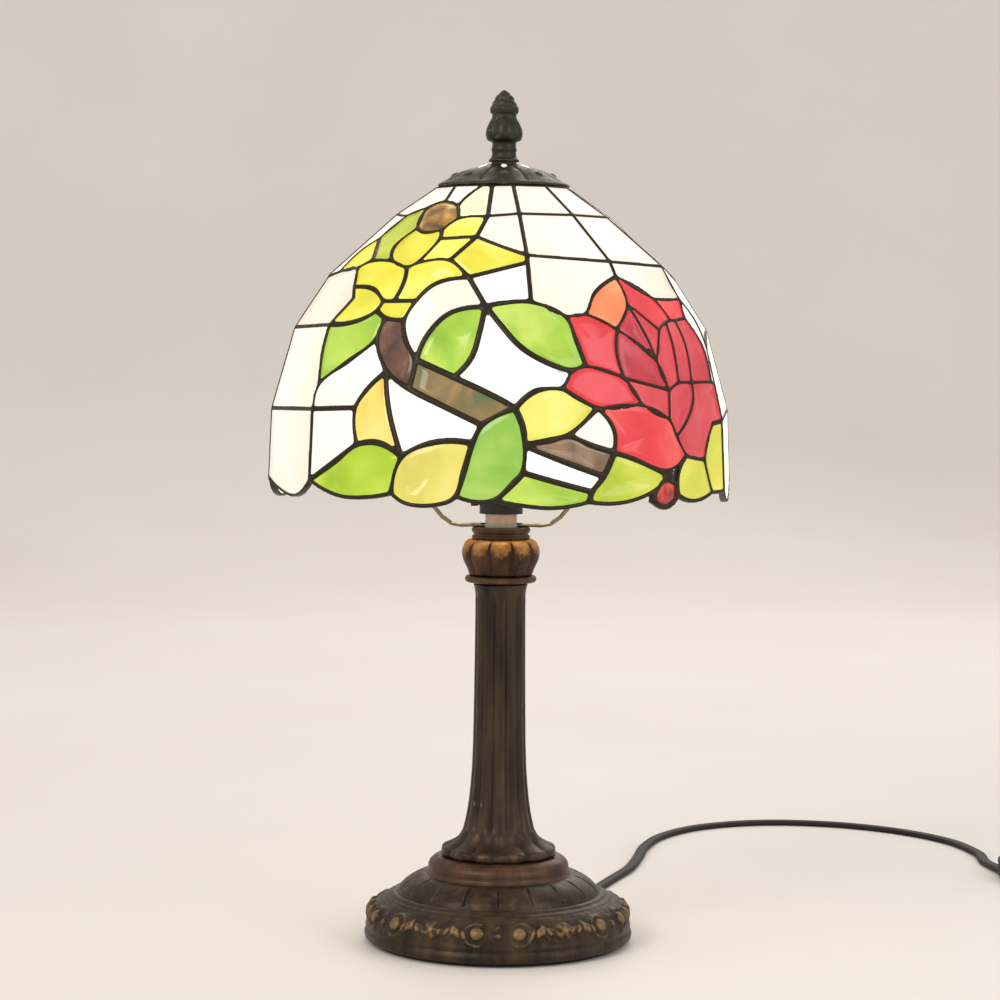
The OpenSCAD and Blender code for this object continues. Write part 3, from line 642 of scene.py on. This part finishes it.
def base_relief(angle, radius, height):
    """Panels on the dome; on the outer roll, pearls in scrolls with flowers and leaves between."""
    panel = np.abs((angle * PANELS / (2 * math.pi)) % 1 - 0.5) * 2
    dome = band(radius, 33.2, 44, 1.2) * band(height, 22.5, 29.8, 1.0)
    lift = dome * (np.clip((1 - panel) * 9, 0, 1) - 0.7) * 1.1
    up = (height - 14.5) * 0.75 + (57.3 - radius) * 0.9
    roll = band(radius, 50.2, 70, 1.6) * band(height, 8.4, 30, 1.2)
    work = np.zeros_like(angle)
    for side in (-1, 1):
        across = side * round_the_roll(angle, side * PEARL_PLACE)
        curl = np.hypot(across, up * 1.05)
        opening = np.clip((across + 4.0) / 2.5, 0, 1)
        work += 2.1 * rosette(across, up, PEARL_R, 0)
        work += 1.0 * np.exp(-((curl - CURL_R) / 1.1) ** 2) * opening
        for place, lean, length, width in LEAVES:
            beside = side * round_the_roll(angle, side * place)
            work += 1.25 * leaf(beside, up, lean, length, width)
    middle = round_the_roll(angle, 0)
    work += 1.2 * rosette(middle, up + 1.0, 1.7, 0)
    work += 0.9 * rosette(middle, up - 3.4, 1.2, 0)
    flower = round_the_roll(angle, FLOWER_PLACE)
    work += 1.7 * rosette(flower, up - 0.3, FLOWER_R, 5)
    work += 0.6 * rosette(flower, up - 0.3, 1.5, 0)
    grain = np.sin(angle * 47 + height * 1.3) * np.sin(angle * 29 - height * 0.9) * 0.08
    return lift + roll * (np.minimum(work, 2.1) + grain - 0.4) * 0.9


def make_base():
    """The cast base with its ornament, and the plain band on which the column stands."""
    outside = rounded([
        (12, 1.6), (57.5, 1.6), (59.1, 2.2), (59.6, 4), (59.2, 5.6), (58.4, 6.4), (59.0, 7.6),
        (59.1, 9), (58.4, 12), (57, 15.2), (54.4, 18), (51, 20.2), (48.2, 21), (47.4, 22),
        (45.8, 22.3), (45, 21.6),
        (44.4, 23.4), (41, 26.7), (36.5, 29.2), (32.4, 30.7), (12, 30.7),
    ], 1)
    shell = turned("base_shell", outside, "stand", 720, 0.5, base_relief, lift_by=0)
    seat = turned("base_seat_band", rounded([
        (12, 29.5), (32.6, 29.5), (32.6, 30.4), (31.5, 31.0), (31.1, 32.2), (31.3, 33.8), (30.9, 35.4),
        (29.8, 36.8), (28.2, 37.8), (26.4, 38.5), (12, 38.5),
    ], 1), "stand", 240, 0.5, lift_by=0)
    for piece, finish in ((shell, BRONZE), (seat, BAND_BRONZE)):
        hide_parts("base_casting")
        set_material(piece, finish)


VENTS = 8
# The vents' distance from the axis, half length, half width and height, in mm, and the cap's slope.
VENT_R = 13
VENT_LENGTH = 2.6
VENT_WIDTH = 1.3
VENT_HEIGHT = 339.3
CAP_SLOPE = 0.33
VENT_POINTS = 12


def cap_relief(angle, radius, height):
    """Eight embossed lobes round the crown of the cap, and a small bead on each lobe's end."""
    lobes = np.abs(np.cos(angle * 4)) ** 0.5
    top = (height > 331.9) & (radius > 9)
    across = ((angle + math.pi / 8) % (math.pi / 4) - math.pi / 8) * radius
    bead = rosette(across, radius - 21.5, 1.7, 5)
    return top * band(radius, 10, 27, 2) * ((lobes - 0.7) * 0.9 + 0.8 * bead)


def vent_slots():
    """Flat bright ovals on the cap: the lit insides of its vents."""
    verts, faces = [], []
    for number in range(VENTS):
        turn = math.radians(number * 360 / VENTS)
        across = vec(math.cos(turn), math.sin(turn), 0)
        away = vec(math.sin(turn), -math.cos(turn), 0)
        start = len(verts)
        for point in range(VENT_POINTS):
            a = 2 * math.pi * point / VENT_POINTS
            r = VENT_R + VENT_LENGTH * math.sin(a)
            height = VENT_HEIGHT + STEM_LIFT - (r - VENT_R) * CAP_SLOPE
            verts.append(away * r + across * VENT_WIDTH * math.cos(a) + vec(0, 0, height))
        faces.append(tuple(range(start, start + VENT_POINTS)))
    return np.array(verts) * MM, faces


def make_vase_cap():
    """The cap on top of the shade, and its vents."""
    outside = rounded([
        (2.6, 327.3), (6, 327.3), (6, 334), (10, 333.4), (18, 331.6), (26, 330.5), (28.6, 330.5),
        (29.0, 330.9), (28.8, 331.7), (26.6, 332.7), (24.6, 333.7), (20, 336.4), (16.6, 337.8),
        (13.6, 338.6), (10.6, 339.2), (8.8, 339.6), (7.4, 340.2), (6.6, 340.5), (2.6, 340.5),
    ], 1)
    obj = turned("vase_cap_casting", outside, "shade", 320, 0.45, cap_relief)
    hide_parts("vase_cap")
    set_material(obj, DARK_BRONZE)
    vents = mesh_object("vase_cap_vents", *vent_slots(), "shade", smooth=False)
    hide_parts("vase_cap")
    set_material(vents, VENT_LIGHT)


def finial_relief(angle, radius, height):
    """A ring of beads, overlapping scales on the acorn and six leaves on the bell below it."""
    beads = np.abs(np.cos(angle * 9)) ** 0.6
    lift = band(height, 362.6, 365.6, 0.8) * (beads - 0.6) * 0.5
    leaves = np.abs(np.cos(angle * 3)) ** 0.6
    lift += band(height, 351.8, 360.5, 2) * (leaves - 0.7) * 1.1
    scales = np.sin(height * 2.4 + np.sin(angle * 6) * 1.2)
    lift += band(height, 366, 371.5, 1) * scales * 0.22
    return lift


def make_finial():
    """The finial: a bell of leaves, a ring of beads and an acorn, with the bore for its stud."""
    outside = rounded([
        (2.6, 341.5), (6.6, 341.5), (6.8, 342.3), (6.0, 343), (5.4, 344), (5.2, 345.6), (5.6, 346.4),
        (5.6, 347.2), (5.2, 348), (5.2, 350.2), (7.4, 350.8), (8.1, 352.4), (8.3, 354), (7.8, 356.4),
        (6.6, 358.8), (5.6, 360.6), (5.2, 362.2), (6.1, 363.3), (6.2, 365), (5.4, 366.4), (4.2, 369.2),
        (2.6, 371.2), (1.2, 372.5), (0.4, 373), (0.05, 373),
    ], 1)
    bore = [(0.05, 353.5), (2.5, 353.5), (2.6, 353.2)]
    obj = turned("finial_casting", np.concatenate([outside, bore]), "finial", 160, 0.35, finial_relief)
    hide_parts("finial")
    set_material(obj, DARK_BRONZE)


make_base()
make_column()
make_capital()
make_vase_cap()
make_finial()


# ---- Stained glass ----

GLASS_T = 2.4 * MM
ARRIS = 0.35 * MM
WELD_DIST = 0.02 * MM
HUB_SLACK = 0.03 * MM
# Corners that turn by less than this are smoothed, with points this far apart.
SMOOTH_TURN = math.radians(52)
POINT_STEP = 1.6 * MM
# How much the shade's radius grows for each mm of height, at heights in mm without the stem lift.
DOME_HEIGHTS = [186, 233, 251, 268, 283, 297, 307, 317, 323, 330]
DOME_SLOPES = [-0.05, -0.15, -0.29, -0.47, -0.66, -0.95, -1.25, -1.35, -1.46, -1.46]
# At the shade's widest part one degree round it is about this many mm.
MM_PER_DEGREE = 1.7


def panes_of(node):
    """The hub and the ordered outer rim of every pane of a CAD glass node.

    A pane's two faces are fans of triangles, so each hub is the mean of the corners round it.
    """
    bm = bmesh.new()
    bm.from_mesh(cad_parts[node].data)
    bmesh.ops.remove_doubles(bm, verts=bm.verts, dist=WELD_DIST)
    panes = []
    for vert in bm.verts:
        ring = [edge.other_vert(vert) for edge in vert.link_edges]
        middle = sum((v.co for v in ring), Vector()) / len(ring)
        if (middle - vert.co).length > HUB_SLACK:
            continue
        rim = [ring[0]]
        while len(rim) < len(ring):
            rim.append(next(v for v in ring if v not in rim
                            and any(e.other_vert(v) is rim[-1] for e in v.link_edges)))
        rim = np.array([v.co for v in rim])
        hub = np.array(vert.co)
        normal = dome_normal(hub[None])[0]
        if vert.normal.dot(Vector(normal)) < 0:
            continue
        offsets = rim - hub
        turns = np.cross(offsets, np.roll(offsets, -1, axis=0)) @ normal
        panes.append((hub, rim if turns.sum() > 0 else rim[::-1]))
    bm.free()
    return panes


def dome_normal(points):
    """Outward normal of the shade near each point."""
    height = points[:, 2] / MM - STEM_LIFT
    slope = np.interp(height, DOME_HEIGHTS, DOME_SLOPES)
    out = unit(np.stack([points[:, 0], points[:, 1], np.zeros(len(points))], axis=1))
    out[:, 2] = -slope
    return unit(out)


def curved(rim):
    """The outline with its gentle corners turned into curves; sharp corners stay."""
    count = len(rim)
    ahead = np.roll(rim, -1, axis=0) - rim
    behind = rim - np.roll(rim, 1, axis=0)
    turn = np.arccos(np.clip((unit(ahead) * unit(behind)).sum(axis=1), -1, 1))
    soft = turn < SMOOTH_TURN
    through = unit(unit(ahead) + unit(behind))
    points = []
    for i in range(count):
        j = (i + 1) % count
        length = np.linalg.norm(ahead[i])
        start = through[i] if soft[i] else unit(ahead[i])
        end = through[j] if soft[j] else unit(ahead[i])
        if not soft[i] and soft[j]:
            start = unit(2 * unit(ahead[i]) - end * 0.9)
        if soft[i] and not soft[j]:
            end = unit(2 * unit(ahead[i]) - start * 0.9)
        steps = max(1, int(round(length / POINT_STEP)))
        for k in range(steps):
            t = k / steps
            h00, h10 = 2 * t ** 3 - 3 * t ** 2 + 1, t ** 3 - 2 * t ** 2 + t
            h01, h11 = -2 * t ** 3 + 3 * t ** 2, t ** 3 - t ** 2
            points.append(h00 * rim[i] + h10 * length * start + h01 * rim[j] + h11 * length * end)
    return np.array(points)


def outward(points):
    """Two directions at each point of an outline: out of it, mitred at corners, and the normal."""
    normal = dome_normal(points)
    n1 = unit(np.cross(unit(points - np.roll(points, 1, axis=0)), normal))
    n2 = unit(np.cross(unit(np.roll(points, -1, axis=0) - points), normal))
    dot = (n1 * n2).sum(axis=1, keepdims=True)
    return (n1 + n2) / np.maximum(1 + dot, 0.3), normal


def glass_piece(rim, hub, rise=0.0):
    """Vertices and faces of one pane: two faces with rounded arrises and a wall between them.

    rise is how far the middle of a pressed jewel stands proud, in metres.
    """
    out, normal = outward(rim)
    count = len(rim)
    hub_normal = dome_normal(hub[None])
    loops = []
    for inset, drop in ((0.0, -GLASS_T + ARRIS), (0.0, -ARRIS), (ARRIS, 0.0)):
        loops.append(rim - out * inset + normal * drop)
    shell = loops[-1]
    for share in (0.3, 0.65):
        loops.append(shell + (hub - shell) * share + hub_normal * rise * (1 - (1 - share) ** 2))
    verts = np.concatenate(loops + [hub[None] + hub_normal * rise])
    faces = grid_faces(len(loops), count)
    last = (len(loops) - 1) * count
    faces += [(last + i, last + (i + 1) % count, len(verts) - 1) for i in range(count)]
    back = [rim - out * ARRIS - normal * GLASS_T]
    back += [back[0] + (hub - hub_normal * GLASS_T - back[0]) * share for share in (0.3, 0.65)]
    start = len(verts)
    verts = np.concatenate([verts] + back + [hub[None] - hub_normal * GLASS_T])
    faces += [(b, a, d, c) for a, b, c, d in grid_faces(3, count, start=start)]
    faces += [(i, start + i, start + (i + 1) % count, (i + 1) % count) for i in range(count)]
    last = start + 2 * count
    faces += [(last + (i + 1) % count, last + i, len(verts) - 1) for i in range(count)]
    return verts, faces


# The solder laps over the glass, reaches past half the seam and has this half thickness.
BEAD_LAP = 0.42 * MM
BEAD_SHOULDER = 0.1 * MM
BEAD_OVERLAP = 0.35 * MM
BEAD_HALF = 1.75 * MM


def bead_ring(rim, seam):
    """A closed ring of solder round one pane, partly over the glass and partly over the seam."""
    out, normal = outward(rim)
    reach = seam + BEAD_OVERLAP
    mid = rim - normal * GLASS_T / 2
    section = [(-BEAD_LAP, 0.55), (-BEAD_SHOULDER, 0.85), (0.5 * reach, 1.0), (reach, 0.9),
               (reach, -0.9), (0.5 * reach, -1.0), (-BEAD_SHOULDER, -0.85), (-BEAD_LAP, -0.55)]
    loops = [mid + out * across + normal * lift * BEAD_HALF for across, lift in section]
    count = len(rim)
    verts = np.concatenate(loops)
    faces = [(d, c, b, a) for a, b, c, d in grid_faces(len(section), count, wrap_rows=True)]
    return verts, faces


# For each glass, in mm: half of the seam beside the CAD's panes, and how far the panes here reach
# past those of the CAD.
SEAM = {
    "grid_glass": 0.95, "field_glass": 1.1, "flower_petals": 1.1, "flower_jewel": 1.1,
    "branch_glass": 1.35, "green_leaves": 1.35, "yellow_leaves": 1.35, "rose_outer": 1.0,
    "rose_inner": 1.0, "bud_jewel": 2.0,
}
GROW = {
    "grid_glass": 0.25, "field_glass": 0.2, "flower_petals": 0.2, "flower_jewel": 0.2,
    "branch_glass": 0.2, "green_leaves": 0.2, "yellow_leaves": 0.2, "rose_outer": 0.4,
    "rose_inner": 0.45, "bud_jewel": 0.3,
}
# The blob of solder over a bud: its place above and beside the bud's hub, and its radius.
KNOT_RISE = 7.3 * MM
KNOT_SHIFT = 1.6 * MM
KNOT_R = 1.0 * MM
KNOT_POINTS = 12
JEWEL_RISE = {"flower_jewel": 1.1 * MM, "bud_jewel": 0.9 * MM}


def hub_of(azimuth, height, hubs):
    """The index of the pane whose middle is nearest to an azimuth in degrees and a height in mm."""
    turn = np.degrees(np.arctan2(hubs[:, 0], -hubs[:, 1]))
    apart = np.abs((turn - azimuth + 180) % 360 - 180) * MM_PER_DEGREE
    return int(np.argmin(np.hypot(apart, hubs[:, 2] / MM - STEM_LIFT - height)))


def knot_outline(hub):
    """Outline of the blob of solder that joins a bud to the rose over it."""
    normal = dome_normal(hub[None])[0]
    side = unit(np.cross(vec(0, 0, 1), normal))
    up = np.cross(normal, side)
    centre = hub + up * KNOT_RISE + side * KNOT_SHIFT
    turns = np.linspace(0, 2 * math.pi, KNOT_POINTS, endpoint=False)[:, None]
    return centre + (side * np.cos(turns) + up * np.sin(turns)) * KNOT_R


def make_panes(side, kind, panes):
    """The panes of one glass on one side of the shade, with any panes of another sheet."""
    node = f"{side}_{kind}"
    accents = ACCENTS.get(kind, []) if side == "front" else []
    hubs = np.array([hub for hub, rim in panes])
    sheet_of = {}
    for number, (azimuth, height, glass) in enumerate(accents):
        sheet_of[hub_of(azimuth, height, hubs)] = number + 1
    verts, faces, sheets = [], [], []
    count = 0
    for number, (hub, rim) in enumerate(panes):
        v, f = glass_piece(rim, hub, JEWEL_RISE.get(kind, 0.0))
        verts.append(v)
        faces += [tuple(i + count for i in face) for face in f]
        sheets += [sheet_of.get(number, 0)] * len(f)
        count += len(v)
    obj = mesh_object(f"{node}_panes", np.concatenate(verts), faces, "shade")
    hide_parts(node)
    set_material(obj, GLASS[kind], *[glass for azimuth, height, glass in accents])
    obj.data.polygons.foreach_set("material_index", sheets)


VOXEL = 0.6 * MM


def make_shade():
    """All the panes, and the beads of solder round them run together into one lattice."""
    ring_verts, ring_faces = [], []
    ring_count = 0
    for side in ("front", "back"):
        for kind in GLASS:
            panes = []
            for hub, rim in panes_of(f"{side}_{kind}"):
                rim = curved(rim)
                panes.append((hub, rim + outward(rim)[0] * GROW[kind] * MM))
            make_panes(side, kind, panes)
            rims = [rim for hub, rim in panes]
            if kind == "bud_jewel":
                rims += [knot_outline(hub) for hub, rim in panes]
            for rim in rims:
                v, f = bead_ring(rim, (SEAM[kind] - GROW[kind]) * MM)
                ring_verts.append(v)
                ring_faces += [tuple(i + ring_count for i in face) for face in f]
                ring_count += len(v)
    lattice = mesh_object("solder_lattice", np.concatenate(ring_verts), ring_faces, "shade")
    remesh = lattice.modifiers.new("remesh", "REMESH")
    remesh.mode = "VOXEL"
    remesh.voxel_size = VOXEL
    remesh.use_smooth_shade = True
    soften = lattice.modifiers.new("soften", "SMOOTH")
    soften.factor = 0.5
    soften.iterations = 4
    bpy.context.view_layer.update()
    graph = bpy.context.evaluated_depsgraph_get()
    mesh = bpy.data.meshes.new_from_object(lattice.evaluated_get(graph))
    lattice.modifiers.clear()
    lattice.data = mesh
    mesh.shade_smooth()
    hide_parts("solder_seams")
    set_material(lattice, SOLDER)


make_shade()


# ---- Carried-over CAD nodes ----

KEPT_NODES = {
    "base_pad": FELT, "base_weight": IRON, "lock_washer": STEEL, "hex_nut": STEEL,
    "lamp_pipe": STEEL, "harp_saddle": STEEL, "harp_hub": BRASS, "harp_wires": WIRE,
    "socket_neck": PALE_NECK, "socket_shell": BLACK_SHELL, "socket_liner": PHENOLIC,
    "socket_screw_shell": BRASS, "socket_contact": BRASS, "socket_leads": CREAM_WIRE,
    "switch_shaft": BRASS, "switch_knob": BLACK_PLASTIC, "bulb_cap": NICKEL,
    "bulb_contact": NICKEL, "bulb_glass": FROSTED_BULB, "bulb_filament": FILAMENT,
    "seating_washer": BRASS, "shade_top_plate": BRASS,
    "finial_washer": AGED_BRASS, "strain_relief": CORD_BROWN, "cord_tie": BLACK_PLASTIC,
    "plug_body": CORD_BROWN, "plug_blades": NICKEL,
}
for node_name, finish in KEPT_NODES.items():
    set_material(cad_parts[node_name], finish)


# ---- Floor and light ----

TABLE_SIDE = 4.0
TABLE_FRONT = -3.0
TABLE_BEND = 1.6
BEND_R = 1.2
BEND_STEPS = 16
WALL_TOP = 3.5


def make_stage():
    """A pale table top that curves up, far behind the lamp, into a plain wall."""
    line = [(TABLE_FRONT, 0), (TABLE_BEND, 0)]
    for step in range(1, BEND_STEPS + 1):
        turn = math.radians(90 * step / BEND_STEPS)
        line.append((TABLE_BEND + BEND_R * math.sin(turn), BEND_R * (1 - math.cos(turn))))
    line.append((TABLE_BEND + BEND_R, WALL_TOP))
    verts = [(x, y, z) for y, z in line for x in (-TABLE_SIDE, TABLE_SIDE)]
    faces = grid_faces(len(line), 2, wrap_cols=False)
    mesh = bpy.data.meshes.new("floor")
    mesh.from_pydata(verts, [], [tuple(reversed(face)) for face in faces])
    mesh.update()
    mesh.shade_smooth()
    floor = bpy.data.objects.new("floor", mesh)
    bpy.context.scene.collection.objects.link(floor)
    material, nodes, links, shader = new_material("pale_floor")
    noise = noise_node(nodes, links, 3.0, 3.0)
    tint = ramp_node(nodes, links, noise.outputs["Fac"],
                     [(0.3, screen(226, 220, 213)), (0.7, screen(230, 225, 219))])
    links.new(tint.outputs["Color"], shader.inputs["Base Color"])
    shader.inputs["Roughness"].default_value = 0.65
    set_material(floor, material)
    world = bpy.data.worlds.new("studio")
    bpy.context.scene.world = world
    world.use_nodes = True
    world.node_tree.nodes["Background"].inputs["Color"].default_value = (*screen(232, 228, 225), 1)
    world.node_tree.nodes["Background"].inputs["Strength"].default_value = 0.95


def area_light(name, place, target, size, watts, colour):
    """A square light that faces its target."""
    data = bpy.data.lights.new(name, "AREA")
    data.size = size
    data.energy = watts
    data.color = colour
    obj = bpy.data.objects.new(name, data)
    bpy.context.scene.collection.objects.link(obj)
    obj.location = place
    obj.rotation_euler = (Vector(target) - Vector(place)).to_track_quat("-Z", "Y").to_euler()


make_stage()
area_light("key", (-1.1, -1.3, 1.3), (0, 0, 0.15), 0.9, 14, (1.0, 0.96, 0.90))
area_light("fill", (1.3, -0.9, 0.9), (0, 0, 0.15), 1.1, 7, (0.95, 0.97, 1.0))
area_light("back", (0.3, 1.5, 1.2), (0, 0, 0.2), 1.2, 8, (1.0, 0.97, 0.93))
